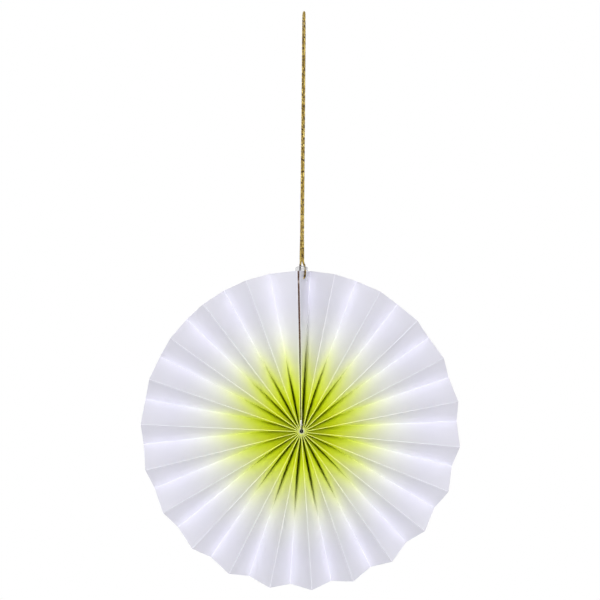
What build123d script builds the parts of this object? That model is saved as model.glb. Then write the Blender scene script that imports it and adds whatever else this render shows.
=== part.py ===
from build123d import *
import math
import os

# Paper fan rosette: one pleated paper strip drawn into a disc, closed at a stiff end card
# and hung on a doubled cord. +Z is up and the printed front faces -Y. The origin is the
# point where a hook bears, inside the top of the cord loop.

# Driving dimensions, in millimetres unless a comment says degrees.

# Pleated paper strip.
fan_radius = 125.0
pleat_count = 22
rim_depth = 18.0  # front to back of the widest pleat, at the rim
paper_thickness = 0.25
hub_packing = 1.25  # room for each layer at the hub, in paper thicknesses
pleat_sag = 3.1  # degrees that the hanging weight moves the side pleats downwards
top_opening = 0.19  # extra share of that sag, which opens the pleats beside the joint
pleat_turn = -0.9  # degrees that the pleats have slipped round the hub, clockwise
joint_lean = 1.4  # degrees that the joint leans to the left of plumb
end_valley_offset = 10.2  # first valley to the middle of the joint, at the rim
radial_steps = 9  # straight lengths along each fold

# End card.
card_thickness = 1.3
card_inner_radius = 8.6
card_setback = 0.3  # card's front edge behind the ridge beside it
card_back_margin = 1.0  # card's back edge inside the panel that it is glued to
layer_gap = 0.05  # between the card and the panel that closes against it

# Cord loop.
cord_diameter = 1.7
cord_rise = 201.0  # rim to the point where the hook bears
hook_diameter = 3.0
cord_hole_drop = 6.0  # hole's middle below the rim
cord_hole_depth = 8.4  # hole's middle behind the end panel's front edge
cord_clearance = 0.1
hole_clearance = 0.5
neck_height = 8.0  # above the rim, where the two strands close together
neck_twist = 30.0  # degrees from one strand straight behind the other
top_twist = 13.0  # degrees, the same just below the eye
eye_length = 18.0
eye_shoulder = 6.0
splice_height = 3.5  # cord's two ends meet this far above the hole

# Clear clip over the rim.
clip_wall = 0.9
clip_rise = 3.3  # top of the clip above the rim
clip_drop = 8.5  # foot of the clip below the rim
clip_front_setback = 2.8
clip_clearance = 0.15
clip_corner_radius = 1.6

# Binding wire.
wire_diameter = 0.8
wire_clearance = 0.15
wire_inset = 2.2  # ring's middle outside the hub hole
wire_depth = 5.0  # ring's middle behind the hub's front
tail_diameter = 0.9
tail_reach = 8.2  # top of the tail above the hub's axis
tail_proud = 0.2  # tail's middle in front of the ridges
tail_bend_radius = 1.2

# Creases are counted clockwise from the joint, as seen from the front: the free front edge,
# then valley and ridge in turn, then the free back edge. Even ones lie in front.
fold_count = 2 * pleat_count
crease_count = fold_count + 2
last_fold = crease_count - 2

right_edge_offset = card_thickness / 2 + layer_gap + paper_thickness / 2
left_ridge_offset = card_thickness / 2 + paper_thickness / 2
joint_width = right_edge_offset + left_ridge_offset
hub_radius = (fold_count * hub_packing * paper_thickness + joint_width) / (2 * math.pi)
back = Vector(0, 1, 0)


def polar(radius, angle):
    """Point at a radius and an angle in radians, clockwise from the joint's plane."""
    return Vector(radius * math.sin(angle), 0, radius * math.cos(angle))


def spread(first, last, count):
    """Evenly spaced angles from first to last."""
    return [first + (last - first) * step / (count - 1) for step in range(count)]


def sagged(angle):
    """Angle of a rim fold once it has slipped and the weight has opened the pleats at the top."""
    swing = math.sin(angle) + top_opening * math.sin(3 * angle)
    return angle + math.radians(pleat_turn + pleat_sag * swing)


def right_edge_angle(radius):
    """Angle of the free front edge, which closes against the card's right side."""
    return math.asin(right_edge_offset / radius)


def left_ridge_angle(radius):
    """Angle of the last ridge and the free back edge, on the card's left side."""
    return 2 * math.pi - math.asin(left_ridge_offset / radius)


# At the hub the layers are packed evenly. At the rim the end panel has a narrower valley.
hub_angles = spread(right_edge_angle(hub_radius), left_ridge_angle(hub_radius), fold_count + 1)
hub_angles.append(hub_angles[-1])
first_valley_angle = math.asin(end_valley_offset / fan_radius)
even_rim_angles = spread(first_valley_angle, left_ridge_angle(fan_radius), fold_count)
rim_angles = [right_edge_angle(fan_radius), first_valley_angle]
rim_angles += [sagged(angle) for angle in even_rim_angles[1:-1]]
rim_angles += [left_ridge_angle(fan_radius)] * 2

hub_ends = [polar(hub_radius, angle) for angle in hub_angles]
rim_ends = [polar(fan_radius, angle) for angle in rim_angles]

rim_chords = [(rim_ends[i + 1] - rim_ends[i]).length for i in range(1, last_fold)]
mean_rim_chord = sum(rim_chords) / len(rim_chords)
panel_width = math.hypot(rim_depth, max(rim_chords))


def crease_place(index, radius):
    """Where a crease passes a radius, seen from the front: creases run straight to the rim."""
    share = (radius - hub_radius) / (fan_radius - hub_radius)
    return hub_ends[index] + (rim_ends[index] - hub_ends[index]) * share


def front_depth(radius):
    """Y of the ridges: panels keep their width, so the pleats grow shallower outwards."""
    chord = mean_rim_chord * radius / fan_radius
    return -math.sqrt(panel_width**2 - chord**2) / 2


def crease_point(index, radius):
    """Middle of the paper on a crease at a radius."""
    place = crease_place(index, radius)
    depth = front_depth(radius)
    if index == crease_count - 1:
        depth += panel_width
    elif index % 2 == 1:
        chord = (crease_place(index + 1, radius) - place).length
        depth += math.sqrt(panel_width**2 - chord**2)
    return place + back * depth


def panel_normal(index, radius):
    """Unit normal of the panel after a crease, on its printed side."""
    first = (rim_ends[index] - hub_ends[index]).normalized()
    second = (rim_ends[index + 1] - hub_ends[index + 1]).normalized()
    outward = (first + second).normalized()
    across = Vector(outward.Z, 0, -outward.X)
    step = crease_point(index + 1, radius) - crease_point(index, radius)
    return (across * step.Y - back * step.dot(across)).normalized()


def crease_corners(index, radius):
    """Corners of the paper at one crease: those on its printed side, then those behind."""
    half = paper_thickness / 2
    middle = crease_point(index, radius)
    if index in (0, crease_count - 1):
        normal = panel_normal(min(index, last_fold), radius)
        return [middle + normal * half], [middle - normal * half]
    before = panel_normal(index - 1, radius)
    after = panel_normal(index, radius)
    mitre = (before + after) * (half / (1 + before.dot(after)))
    if index % 2 == 0:
        return [middle + before * half, middle + after * half], [middle - mitre]
    return [middle + mitre], [middle - before * half, middle - after * half]


def facet(*corners):
    """Flat triangle."""
    return Face(Wire.make_polygon(corners))


def edge_facets(radius):
    """Cut edge of the strip at the hub or the rim: two facets for each panel, one at each fold."""
    corners = [crease_corners(index, radius) for index in range(crease_count)]
    facets = [facet(*front, *rear) for front, rear in corners[1:-1]]
    for (front, rear), (next_front, next_rear) in zip(corners, corners[1:]):
        facets.append(facet(front[-1], next_front[0], rear[-1]))
        facets.append(facet(next_front[0], next_rear[0], rear[-1]))
    return facets


def section_ring(radius):
    """Corners round the strip's section at a radius, along its printed side and back behind."""
    corners = [(index, crease_corners(index, radius)) for index in range(crease_count)]
    front = [(index, point) for index, sides in corners for point in sides[0]]
    rear = [(index, point) for index, sides in corners for point in sides[1]]
    return front + rear[::-1]


def pleated_strip():
    """Solid of the whole folded strip, with flat facets between its sections.

    Each stretch of a panel is split from its back fold's inner end to its front fold's outer end,
    on both sides of the paper alike.
    """
    growth = (fan_radius / hub_radius) ** (1 / radial_steps)
    rings = [section_ring(hub_radius * growth**step) for step in range(radial_steps + 1)]
    facets = edge_facets(hub_radius) + edge_facets(fan_radius)
    for inner, outer in zip(rings, rings[1:]):
        for place in range(len(inner)):
            first, second = place - 1, place
            if inner[first][0] % 2 == 0:
                first, second = second, first
            near = inner[first][1]
            far = outer[second][1]
            facets.append(facet(near, outer[first][1], far))
            facets.append(facet(near, far, inner[second][1]))
    return Solid(Shell(facets))


# The end panel, right of the joint, slants backwards. It leans furthest out at the rim.
rim_edge = crease_point(0, fan_radius)
rim_step = crease_point(1, fan_radius) - rim_edge
rim_slope = rim_step.X / rim_step.Y
slant = math.hypot(1, rim_slope)


def end_panel_offset(depth):
    """Middle of the end panel's paper from the joint's plane, at the rim and a depth."""
    return rim_edge.X + (depth - rim_edge.Y) * rim_slope


# The cord passes through a hole in the end panel, and a strand stands on either side of it.
hole_height = fan_radius - cord_hole_drop
hole_depth = crease_point(0, hole_height).Y + cord_hole_depth
hole_radius = cord_diameter / 2 + hole_clearance
strand_radius = cord_diameter / 2
strand_standoff = (strand_radius + paper_thickness / 2) * slant + cord_clearance
left_strand_offset = card_thickness / 2 + strand_radius + cord_clearance
right_strand_offset = end_panel_offset(hole_depth) + strand_standoff

# The hub hangs below the loop, with the cord's plane at Y = 0 and the joint leaning.
hub_drop = cord_rise + fan_radius
fan_place = Pos(0, -hole_depth, -hub_drop) * Rot(0, -joint_lean, 0)


def hung(x, y, z):
    """Point of the fan, given from the hub's axis and the joint's plane, in the part's frame."""
    return (fan_place * Pos(x, y, z)).position


def ring_at_hub(section):
    """Turn a section, drawn right of the hub's axis, into a ring round that axis."""
    return revolve(section, Axis.Y)


hub_front = front_depth(hub_radius)
wire_ring_radius = hub_radius + wire_inset
wire_ring_depth = hub_front + wire_depth


def make_pleated_paper():
    """Folded strip, with its slots for the binding wire and its hole for the cord."""
    slot_side = wire_diameter + 2 * wire_clearance
    slot = Pos(wire_ring_radius, wire_ring_depth, 0) * Rectangle(slot_side, slot_side)
    hole_length = right_strand_offset - left_strand_offset
    hole_place = Pos((left_strand_offset + right_strand_offset) / 2, hole_depth, hole_height)
    hole = hole_place * Rot(0, 90, 0) * Cylinder(hole_radius, hole_length)
    return fan_place * (pleated_strip() - ring_at_hub(slot) - hole)


def make_end_card():
    """Board strip in the joint, its front edge following the ridge beside it."""
    radii = [card_inner_radius, (card_inner_radius + fan_radius) / 2, fan_radius]
    front = [Vector(front_depth(radius) + card_setback, radius) for radius in radii]
    reach = panel_width - card_setback - card_back_margin
    rear = [point + Vector(reach, 0) for point in front]
    edges = [
        ThreePointArc(*front),
        Line(front[2], rear[2]),
        ThreePointArc(*rear),
        Line(rear[0], front[0]),
    ]
    side = Plane.YZ * make_face(edges)
    return fan_place * extrude(side, card_thickness / 2, both=True)


def make_joint_clip():
    """Clear clip: a rounded arch over the rim, slotted above for the two strands.

    It reaches back to where the end panel meets its right leg.
    """
    left = -card_thickness / 2 - paper_thickness - clip_clearance - clip_wall
    right_inside = right_strand_offset + strand_radius + clip_clearance
    right = right_inside + clip_wall
    height = clip_rise + clip_drop
    front = rim_edge.Y + clip_front_setback
    panel_face = rim_edge.X + (paper_thickness / 2 + clip_clearance) * slant
    length = rim_edge.Y + (right_inside - panel_face) / rim_slope - front
    middle = Vector((left + right) / 2, front, fan_radius + clip_rise - height / 2)
    upright = Plane(middle, x_dir=(1, 0, 0), z_dir=(0, -1, 0))
    outer = Rectangle(right - left, height)
    outer = fillet(outer.vertices().group_by(Axis.Y)[-1], clip_corner_radius)
    inner = Pos(0, -clip_wall) * Rectangle(right - left - 2 * clip_wall, height)
    inner = fillet(inner.vertices().group_by(Axis.Y)[-1], clip_corner_radius - clip_wall)
    clip = extrude(upright * (outer - inner), -length)
    slot_wall = strand_radius + clip_clearance
    slot_width = right_strand_offset - left_strand_offset + 2 * slot_wall
    slot_middle = (left_strand_offset + right_strand_offset) / 2
    slot_place = Pos(slot_middle, hole_depth, fan_radius + clip_rise)
    slot = slot_place * Box(slot_width, 2 * slot_wall, 4 * clip_wall)
    return fan_place * (clip - slot)


def cord_route():
    """Points of the cord, from its splice in the joint round the loop and back."""
    half_pitch = strand_radius + cord_clearance / 2
    hook_reach = hook_diameter / 2 + strand_radius
    above_clip = fan_radius + clip_rise + cord_clearance
    neck = neck_height - cord_rise

    def beside(twist, height):
        """Right-hand strand's place where the two strands touch."""
        turn = math.radians(twist)
        return Vector(half_pitch * math.sin(turn), -half_pitch * math.cos(turn), height)

    def opposite(point):
        """Left-hand strand's place at the same height."""
        return Vector(-point.X, -point.Y, point.Z)

    rising = [
        beside(neck_twist, neck),
        beside(top_twist, -eye_length),
        Vector(0, -hook_reach, -eye_shoulder),
        Vector(0, -hook_reach, strand_radius),
    ]
    return [
        hung(left_strand_offset, hole_depth, hole_height + splice_height),
        hung(left_strand_offset, hole_depth, hole_height),
        hung(right_strand_offset, hole_depth, hole_height),
        hung(right_strand_offset, hole_depth, above_clip),
        *rising,
        *[opposite(point) for point in rising[::-1]],
        hung(left_strand_offset, hole_depth, above_clip),
        hung(left_strand_offset, hole_depth, hole_height + splice_height + cord_clearance),
    ]


def bend_radii(points):
    """Largest arc that each corner's two runs leave room for."""
    radii = []
    for before, corner, after in zip(points, points[1:], points[2:]):
        arriving = corner - before
        leaving = after - corner
        turn = math.radians(arriving.get_angle(leaving))
        shorter = min(arriving.length, leaving.length)
        radii.append(0.45 * shorter / math.tan(turn / 2))
    return radii


def tube(points, radii, diameter):
    """Round tube along straight runs joined by arcs."""
    path = FilletPolyline(*points, radius=radii)
    section = Plane(path @ 0, z_dir=path % 0) * Circle(diameter / 2)
    return sweep(section, path=path), path.length


def make_hanging_cord():
    """Doubled cord: a closed loop through the end panel, with an eye for the hook."""
    points = cord_route()
    radii = bend_radii(points)
    cord, length = tube(points, radii, cord_diameter)
    section = math.pi * strand_radius**2
    print("cord route", [tuple(round(value, 2) for value in point) for point in points])
    print("cord radii", [round(radius, 2) for radius in radii])
    print("cord length", round(length, 2), "volume ratio", round(cord.volume / (section * length), 5))
    return cord


def make_binding_wire():
    """Wire ring through the panels' inner ends, with its twisted tail turned up the joint."""
    ring = ring_at_hub(Pos(wire_ring_radius, wire_ring_depth) * Circle(wire_diameter / 2))
    tail_front = hub_front - tail_proud
    tail_points = [
        Vector(0, wire_ring_depth, wire_ring_radius),
        Vector(0, tail_front, wire_ring_radius),
        Vector(0, tail_front, tail_reach),
    ]
    tail, _ = tube(tail_points, [tail_bend_radius], tail_diameter)
    return fan_place * (ring + tail)


pieces = {
    "pleated_paper": make_pleated_paper(),
    "end_card": make_end_card(),
    "joint_clip": make_joint_clip(),
    "hanging_cord": make_hanging_cord(),
    "binding_wire": make_binding_wire(),
}

os.makedirs("parts", exist_ok=True)
for node, shape in pieces.items():
    export_step(shape, f"parts/{node}.step")
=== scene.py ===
"""Dresses the hanging paper fan: printed pleats, board joint, clear clip, gold cord and wire.

Lengths are metres in the part's own frame. +Z is up and the printed front faces -Y. The origin
is the point where a hook bears, inside the top of the cord loop.
"""

import logging
import math
from dataclasses import dataclass
from dataclasses import field
from enum import Enum
from typing import Any

import bpy
import numpy as np
from mathutils import Matrix
from mathutils import Vector


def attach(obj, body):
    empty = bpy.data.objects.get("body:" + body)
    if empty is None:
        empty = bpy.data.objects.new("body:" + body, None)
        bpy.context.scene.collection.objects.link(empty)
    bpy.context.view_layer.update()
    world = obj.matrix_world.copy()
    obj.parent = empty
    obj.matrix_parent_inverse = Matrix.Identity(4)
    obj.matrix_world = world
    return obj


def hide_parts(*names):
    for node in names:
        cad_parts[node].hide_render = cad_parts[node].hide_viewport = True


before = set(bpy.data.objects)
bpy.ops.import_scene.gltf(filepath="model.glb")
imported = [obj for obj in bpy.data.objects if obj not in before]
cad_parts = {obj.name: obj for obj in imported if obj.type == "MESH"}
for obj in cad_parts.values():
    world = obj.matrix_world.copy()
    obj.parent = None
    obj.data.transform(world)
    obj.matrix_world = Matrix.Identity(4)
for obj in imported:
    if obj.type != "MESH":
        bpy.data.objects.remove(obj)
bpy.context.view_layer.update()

Array = np.ndarray
Colour = tuple[float, float, float]
Point = tuple[float, float, float]
Span = tuple[float, float]

MM = 0.001
TAU = 2 * math.pi
BODY = "root"
BACK = np.array([0.0, 1.0, 0.0])
ACROSS = np.array([1.0, 0.0, 0.0])
UP = np.array([0.0, 0.0, 1.0])
ALMOST = 0.98  # share that keeps a rounded end or corner from closing to nothing
TINY = 1e-9
CORNER_STEPS = 5

log = logging.getLogger("paper_fan")


class Slot(Enum):
    """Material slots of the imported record."""

    PRINTED_PAPER = "printed_paper"
    BROWN_CARD = "brown_card"
    CLEAR_PLASTIC = "clear_plastic"
    GOLD_CORD = "gold_cord"
    STEEL_WIRE = "steel_wire"


class EndCap(Enum):
    """How the first and last ring of a shell are shut."""

    JOINED = "joined"
    POLYGON = "polygon"
    STRIP = "strip"


@dataclass
class Shell:
    """Closed surface made of rings of points, each ring shut on itself.

    Attributes:
        rings: Points, of shape (rows, columns, 3).
        maps: UV maps by name, of shape (rows, columns + 1, 2), or one row more if joined.
        caps: How the end rings are shut.
    """

    rings: Array
    maps: dict[str, Array]
    caps: EndCap = EndCap.POLYGON

    def corners(self) -> list[tuple[Array, Array]]:
        """Rows and columns of every face's corners, in batches of faces of one kind.

        A quad spans two neighbouring rings and two neighbouring columns. A strip cap joins each
        column of the first half of a ring to the one that lies opposite in the second half.

        Returns:
            Pairs of arrays (rows, columns), each of shape (faces, corners of a face).
        """
        rows, columns = self.rings.shape[:2]
        spans = rows if self.caps is EndCap.JOINED else rows - 1
        row, column = np.meshgrid(np.arange(spans), np.arange(columns), indexing="ij")
        quad_rows = np.stack([row, row, row + 1, row + 1], axis=-1).reshape(-1, 4)
        quad_columns = np.stack([column, column + 1, column + 1, column], axis=-1).reshape(-1, 4)
        batches = [(quad_rows, quad_columns)]
        if self.caps is EndCap.POLYGON:
            around = np.arange(columns)[None, :]
            batches.append((np.zeros_like(around), around[:, ::-1]))
            batches.append((np.full_like(around, rows - 1), around))
        if self.caps is EndCap.STRIP:
            first = np.arange(columns // 2 - 1)
            opposite = columns - 1 - first
            across = np.stack([first, opposite, opposite - 1, first + 1], axis=-1)
            batches.append((np.zeros_like(across), across))
            batches.append((np.full_like(across, rows - 1), across[:, ::-1]))
        return batches

    def volume(self) -> float:
        """Signed volume, summed over the triangles that fan out from each face's first corner.

        Returns:
            The volume, above zero if the faces point outwards.
        """
        rows, columns = self.rings.shape[:2]
        total = 0.0
        for face_rows, face_columns in self.corners():
            points = self.rings[face_rows % rows, face_columns % columns]
            pivot = points[:, :1]
            turn = np.cross(points[:, 1:-1], points[:, 2:])
            total += float(np.sum(pivot * turn)) / 6
        return total


def make_object(name: str, shells: list[Shell]) -> bpy.types.Object:
    """Put shells into one mesh object, with all faces turned outwards.

    Args:
        name: Name of the piece.
        shells: Shells with the same UV maps.

    Returns:
        The new object, linked to the scene.
    """
    points = []
    faces = []
    map_values = {key: [] for key in shells[0].maps}
    start = 0
    for shell in shells:
        rows, columns = shell.rings.shape[:2]
        order = 1 if shell.volume() > 0 else -1
        for face_rows, face_columns in shell.corners():
            face_rows = face_rows[:, ::order]
            face_columns = face_columns[:, ::order]
            faces += (start + (face_rows % rows) * columns + face_columns % columns).tolist()
            for key, values in shell.maps.items():
                map_values[key].append(values[face_rows, face_columns].reshape(-1, 2))
        points.append(shell.rings.reshape(-1, 3))
        start += rows * columns
    mesh = bpy.data.meshes.new(name)
    mesh.from_pydata(np.concatenate(points).tolist(), [], faces)
    for key, values in map_values.items():
        layer = mesh.uv_layers.new(name=key)
        layer.data.foreach_set("uv", np.concatenate(values).astype(np.float32).ravel())
    mesh.polygons.foreach_set("use_smooth", np.ones(len(faces), dtype=bool))
    mesh.update()
    piece = bpy.data.objects.new(name, mesh)
    bpy.context.scene.collection.objects.link(piece)
    return piece


def cut_away(piece: bpy.types.Object, cutter: bpy.types.Object) -> None:
    """Take a cutter's volume out of a piece, and remove the cutter.

    Args:
        piece: Object whose mesh is replaced by the cut one.
        cutter: Closed object, deleted afterwards.
    """
    cut = piece.modifiers.new("cut", "BOOLEAN")
    cut.operation = "DIFFERENCE"
    cut.solver = "EXACT"
    cut.object = cutter
    result = piece.evaluated_get(bpy.context.evaluated_depsgraph_get())
    whole = piece.data
    mesh = bpy.data.meshes.new_from_object(result)
    piece.modifiers.clear()
    piece.data = mesh
    bpy.data.meshes.remove(whole)
    mesh.name = piece.name
    shape = cutter.data
    bpy.data.objects.remove(cutter)
    bpy.data.meshes.remove(shape)


def sharpen(piece: bpy.types.Object, degrees: float) -> None:
    """Keep the edges that turn by more than an angle sharp."""
    piece.data.set_sharp_from_angle(angle=math.radians(degrees))


def dress(piece: bpy.types.Object, material: bpy.types.Material) -> None:
    """Give a piece one material."""
    piece.data.materials.clear()
    piece.data.materials.append(material)


def unit(vectors: Array) -> Array:
    """Vectors scaled to a length of one."""
    return vectors / np.linalg.norm(vectors, axis=-1, keepdims=True)


def ramp(value: Array, start: float, end: float) -> Array:
    """Nothing up to start, one from end on, and a straight line between them."""
    return np.clip((value - start) / (end - start), 0, 1)


def lengths_along(path: Array) -> Array:
    """Length travelled to each point of a path: the sum of the steps before it.

    Args:
        path: Points of shape (..., points, axes).

    Returns:
        Lengths of shape (..., points).
    """
    steps = np.linalg.norm(np.diff(path, axis=-2), axis=-1)
    return np.concatenate([np.zeros_like(steps[..., :1]), np.cumsum(steps, axis=-1)], axis=-1)


def flat_map(rows: int, columns: int, across: float, along: Array) -> Array:
    """UV map of a grid: across runs evenly round a ring, along is given for each row.

    Args:
        rows: Number of rows in the map.
        columns: Number of columns in a ring.
        across: Length round the ring.
        along: Value of each row.

    Returns:
        Map of shape (rows, columns + 1, 2).
    """
    result = np.empty((rows, columns + 1, 2))
    result[..., 0] = np.linspace(0, across, columns + 1)
    result[..., 1] = along[:, None]
    return result


def carry_profile(path: Array, first: Array, second: Array, profile: Array) -> Array:
    """Carry a closed profile along a path.

    Each point is the path's point, plus the profile's first value along one direction, plus its
    second value along another.

    Args:
        path: Points of shape (rows, 3).
        first: Direction of the profile's first value, of shape (rows, 3) or (3,).
        second: Direction of its second value, likewise.
        profile: Values of shape (columns, 2) or (rows, columns, 2).

    Returns:
        Rings of shape (rows, columns, 3).
    """
    first = np.broadcast_to(first, path.shape)[:, None, :]
    second = np.broadcast_to(second, path.shape)[:, None, :]
    return path[:, None, :] + profile[..., :1] * first + profile[..., 1:] * second


def rounded_rectangle(width: float, height: float, radius: float, inset: Array) -> Array:
    """Rectangle with round corners, drawn in by an inset for each row.

    A corner's points are its arc's centre plus the arc's radius, less the inset, in directions
    that turn through a right angle.

    Args:
        width: Size along the first axis.
        height: Size along the second axis.
        radius: Radius of the corners.
        inset: How far each row is drawn in, of shape (rows,).

    Returns:
        Profiles of shape (rows, columns, 2), anticlockwise.
    """
    turn = np.linspace(0, math.pi / 2, CORNER_STEPS)
    corner = np.arange(4)[:, None] * math.pi / 2
    angle = (corner + turn).ravel()
    outward = np.stack([np.cos(angle), np.sin(angle)], axis=-1)
    middle = corner.ravel() + math.pi / 4
    centre = np.stack([np.sign(np.cos(middle)), np.sign(np.sin(middle))], axis=-1)
    centre = np.repeat(centre, CORNER_STEPS, axis=0)
    centre = centre * (width / 2 - radius, height / 2 - radius)
    return centre + outward * (radius - inset[:, None, None])


def end_rounding(distance: Array, radius: float) -> Array:
    """Inset that rounds a bar's end: a quarter circle over the last radius of its length."""
    near = ramp(distance, radius, 0)
    return radius * (1 - np.sqrt(1 - near**2)) * ALMOST


@dataclass(frozen=True)
class PhotoView:
    """Camera at the photograph's place, for a square picture."""

    location: Point = (-0.0376, -1.050, -0.2074)
    yaw: float = 1.975
    pitch: float = -0.906
    roll: float = 0.339
    lens: float = 80.33
    sensor: float = 36.0
    nearest: float = 0.05

    def build(self) -> None:
        """Make the camera: forward from yaw and pitch, then right and up turned by the roll."""
        yaw, pitch, roll = (math.radians(a) for a in (self.yaw, self.pitch, self.roll))
        level = math.cos(pitch)
        forward = Vector((math.sin(yaw) * level, math.cos(yaw) * level, math.sin(pitch)))
        right = Vector((math.cos(yaw), -math.sin(yaw), 0))
        up = right.cross(forward)
        turned_right = right * math.cos(roll) + up * math.sin(roll)
        turned_up = up * math.cos(roll) - right * math.sin(roll)
        data = bpy.data.cameras.new("photo_view")
        data.sensor_width = self.sensor
        data.lens = self.lens
        data.clip_start = self.nearest
        camera = bpy.data.objects.new("photo_view", data)
        turn = Matrix((turned_right, turned_up, -forward)).transposed()
        camera.matrix_world = Matrix.Translation(self.location) @ turn.to_4x4()
        bpy.context.scene.collection.objects.link(camera)
        bpy.context.scene.camera = camera


class NodeSheet:
    """Adds and joins the nodes of one material, group or world."""

    def __init__(self, tree: bpy.types.NodeTree) -> None:
        """Start with an empty tree."""
        self.tree = tree
        tree.nodes.clear()

    def add(
        self, kind: str, inputs: dict[str | int, Any] | None = None, **settings: Any
    ) -> bpy.types.Node:
        """Add a node.

        Args:
            kind: Type of the node, without the leading ShaderNode.
            inputs: Values or output sockets for its inputs, by name or number.
            settings: Options of the node.

        Returns:
            The new node.
        """
        node = self.tree.nodes.new("ShaderNode" + kind)
        for option, value in settings.items():
            setattr(node, option, value)
        for key, value in (inputs or {}).items():
            self.feed(node.inputs[key], value)
        return node

    def feed(self, socket: bpy.types.NodeSocket, value: Any) -> None:
        """Join an output to an input, or set the input's value.

        Args:
            socket: Input to fill.
            value: Output socket, number, or colour of three parts.
        """
        if isinstance(value, bpy.types.NodeSocket):
            self.tree.links.new(value, socket)
        elif socket.type == "RGBA":
            socket.default_value = (*value, 1.0)
        else:
            socket.default_value = value

    def sum(self, operation: str, *values: Any) -> bpy.types.NodeSocket:
        """Result of a Math node."""
        inputs = dict(enumerate(values))
        return self.add("Math", inputs, operation=operation).outputs[0]

    def blend(self, factor: Any, first: Any, second: Any) -> bpy.types.NodeSocket:
        """Colour that goes from the first to the second as the factor rises."""
        inputs = {0: factor, 6: first, 7: second}
        return self.add("Mix", inputs, data_type="RGBA").outputs[2]

    def span(
        self, value: Any, low: float, high: float, to: Span = (0.0, 1.0)
    ) -> bpy.types.NodeSocket:
        """Smooth step of a value: the first end of to at low, the second at high."""
        inputs = {0: value, 1: low, 2: high, 3: to[0], 4: to[1]}
        return self.add("MapRange", inputs, interpolation_type="SMOOTHSTEP").outputs[0]

    def noise(self, vector: Any, scale: Any, detail: float = 2.0) -> bpy.types.NodeSocket:
        """Noise between 0 and 1."""
        inputs = {"Vector": vector, "Scale": scale, "Detail": detail}
        return self.add("TexNoise", inputs).outputs[0]

    def stretch(self, vector: Any, scale: Point) -> bpy.types.NodeSocket:
        """Vector scaled by a factor for each axis."""
        return self.add("Mapping", {"Vector": vector, "Scale": scale}).outputs[0]

    def uv(self, name: str) -> bpy.types.NodeSocket:
        """UV map of the piece."""
        return self.add("UVMap", uv_map=name).outputs[0]

    def group(self, tree: bpy.types.NodeTree, inputs: dict[str, Any]) -> bpy.types.Node:
        """Place a shared group with its own values.

        Args:
            tree: The group.
            inputs: Values or output sockets for its inputs, by name.

        Returns:
            The new node.
        """
        node = self.tree.nodes.new("ShaderNodeGroup")
        node.node_tree = tree
        for key, value in inputs.items():
            self.feed(node.inputs[key], value)
        return node

    def bump(self, height: Any, distance: float, strength: float) -> bpy.types.NodeSocket:
        """Normal raised by a height."""
        inputs = {"Height": height, "Distance": distance, "Strength": strength}
        return self.add("Bump", inputs).outputs[0]

    def surface(self, inputs: dict[str, Any]) -> None:
        """Join a Principled shader to the material's output."""
        shader = self.add("BsdfPrincipled", inputs)
        self.add("OutputMaterial", {"Surface": shader.outputs[0]})


def new_material(slot: Slot) -> tuple[bpy.types.Material, NodeSheet]:
    """Make an empty material for a slot.

    Args:
        slot: Slot that the material fills.

    Returns:
        The material and its nodes.
    """
    material = bpy.data.materials.new(slot.value + "_finish")
    material.use_nodes = True
    return material, NodeSheet(material.node_tree)


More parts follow.
